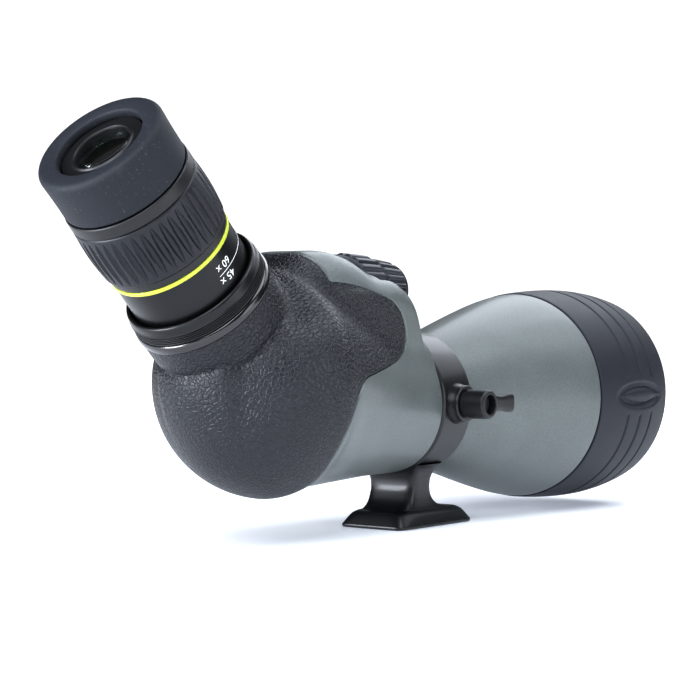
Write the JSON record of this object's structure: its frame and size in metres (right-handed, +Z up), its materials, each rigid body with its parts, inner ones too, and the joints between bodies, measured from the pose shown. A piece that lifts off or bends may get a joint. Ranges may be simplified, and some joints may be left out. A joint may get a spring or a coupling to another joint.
{
  "type": "spotting scope",
  "caption": "Angled zoom spotting scope with a rotating tripod collar and foot, dual focus knobs, twist-up eyecup and sliding sunshade.",
  "frame": {"origin": "mouth of the tripod thread, in the flat base of the foot", "axes": "+X forward along the optical axis towards the objective, +Y to the scope's left, +Z up"},
  "size_m": [0.3946, 0.1086, 0.1871],
  "materials": {
    "black_casting": "satin black powder coat",
    "steel": "turned steel",
    "dark_steel": "blackened steel",
    "nylon": "black nylon",
    "black_anodised": "black anodised",
    "black_gloss": "glossy black anodised",
    "black_satin": "satin black",
    "grey_paint": "grey-green metallic paint with fine flake",
    "rubber_armour": "slate rubber with a pebbled grain",
    "matte_black": "matte black against stray light",
    "glass": "multicoated glass",
    "felt": "black felt",
    "brass": "turned brass",
    "aluminium": "machined",
    "knob_rubber": "fine matte rubber",
    "lime_paint": "bright lime yellow",
    "eyecup_rubber": "soft matte rubber"
  },
  "bodies": {
    "tripod_foot": {"tripod_collar": "black_casting", "tripod_insert": "steel", "collar_liner": "nylon"},
    "clamp_plunger": {"clamp_pad": "nylon"},
    "clamp_handle": {"clamp_stud": "steel", "clamp_washer": "nylon", "clamp_lever": "black_anodised", "clamp_cap_screw": "dark_steel"},
    "scope_body": {"body_shell": "grey_paint", "rubber_armour": "rubber_armour", "journal_tube": "black_anodised", "objective_barrel": "grey_paint", "barrel_baffle": "matte_black", "objective_cell": "matte_black", "objective_flint": "glass", "objective_spacer": "matte_black", "objective_crown": "glass", "objective_retainer": "black_anodised", "shade_felt": "felt", "focus_bush": "brass", "guide_rods": "steel", "rod_ring": "aluminium", "prism_ring": "aluminium", "erecting_prism": "glass", "prism_cheeks": "aluminium", "prism_screws": "steel", "prism_strap": "steel", "eyepiece_flange": "black_gloss", "eyepiece_core": "black_anodised", "field_stop": "matte_black", "eye_cell": "matte_black", "eye_lens": "glass", "inner_eye_lens": "glass"},
    "sunshade": {"shade_sleeve": "black_anodised", "shade_rubber": "rubber_armour"},
    "coarse_focus": {"focus_screw": "steel", "coarse_knob": "matte_black", "coarse_grip": "knob_rubber"},
    "fine_focus": {"fine_knob": "matte_black", "fine_grip": "knob_rubber", "fine_spindle": "steel"},
    "focus_slide": {"focus_carriage": "aluminium", "focus_nut": "brass", "focus_lens": "glass"},
    "eyepiece_lock": {"lock_ring": "black_anodised"},
    "zoom_ring": {"scale_barrel": "black_anodised", "lime_ring": "lime_paint", "zoom_sleeve": "black_satin", "zoom_grip": "knob_rubber"},
    "field_group": {"field_cell": "matte_black", "field_lens": "glass"},
    "zoom_group": {"zoom_cell": "matte_black", "zoom_lens": "glass"},
    "eyecup_cam": {"eyecup_cam_ring": "nylon"},
    "eyecup": {"eyecup_sleeve": "matte_black", "eyecup_rubber": "eyecup_rubber"}
  },
  "joints": [
    {"name": "collar_turn", "type": "hinge", "parent": "tripod_foot", "child": "scope_body", "pos_m": [0, 0, 0.0585], "axis": [1, 0, 0], "range_deg": [-135, 135]},
    {"name": "clamp_press", "type": "slide", "parent": "tripod_foot", "child": "clamp_plunger", "axis": [0, -1, 0], "range_m": [0, 0.0015]},
    {"name": "clamp_turn", "type": "hinge", "parent": "clamp_plunger", "child": "clamp_handle", "pos_m": [-0.00565, 0, 0.0585], "axis": [0, -1, 0], "range_deg": [0, 540]},
    {"name": "sunshade_slide", "type": "slide", "parent": "scope_body", "child": "sunshade", "axis": [1, 0, 0], "range_m": [0, 0.034]},
    {"name": "coarse_focus_turn", "type": "hinge", "parent": "scope_body", "child": "coarse_focus", "pos_m": [0, 0, 0.1112], "axis": [1, 0, 0], "range_deg": [0, 270]},
    {"name": "fine_focus_turn", "type": "hinge", "parent": "scope_body", "child": "fine_focus", "pos_m": [0, 0, 0.1112], "axis": [1, 0, 0], "range_deg": [0, 1350.1]},
    {"name": "focus_travel", "type": "slide", "parent": "scope_body", "child": "focus_slide", "axis": [-1, 0, 0], "range_m": [0, 0.008]},
    {"name": "lock_ring_turn", "type": "hinge", "parent": "scope_body", "child": "eyepiece_lock", "pos_m": [-0.15353, 0, 0.11153], "axis": [-0.7071, 0, 0.7071], "range_deg": [0, 30]},
    {"name": "zoom_turn", "type": "hinge", "parent": "scope_body", "child": "zoom_ring", "pos_m": [-0.17121, 0, 0.12921], "axis": [-0.7071, 0, 0.7071], "range_deg": [0, 150]},
    {"name": "field_lens_travel", "type": "slide", "parent": "scope_body", "child": "field_group", "axis": [-0.7071, 0, 0.7071], "range_m": [0, 0.009]},
    {"name": "zoom_lens_travel", "type": "slide", "parent": "scope_body", "child": "zoom_group", "axis": [-0.7071, 0, 0.7071], "range_m": [0, 0.018]},
    {"name": "eyecup_twist", "type": "hinge", "parent": "scope_body", "child": "eyecup_cam", "pos_m": [-0.19808, 0, 0.15608], "axis": [-0.7071, 0, 0.7071], "range_deg": [0, 120.1]},
    {"name": "eyecup_rise", "type": "slide", "parent": "eyecup_cam", "child": "eyecup", "axis": [-0.7071, 0, 0.7071], "range_m": [0, 0.01]}
  ],
  "couplings": [
    {"joint": "clamp_press", "follows": "clamp_turn", "m_per_rad": 0.00015915},
    {"joint": "fine_focus_turn", "follows": "coarse_focus_turn", "ratio": 5},
    {"joint": "focus_travel", "follows": "coarse_focus_turn", "m_per_rad": 0.0016977},
    {"joint": "field_lens_travel", "follows": "zoom_turn", "m_per_rad": 0.0034377},
    {"joint": "zoom_lens_travel", "follows": "zoom_turn", "m_per_rad": 0.0068755},
    {"joint": "eyecup_twist", "follows": "eyecup_rise", "rad_per_m": 209.44}
  ]
}
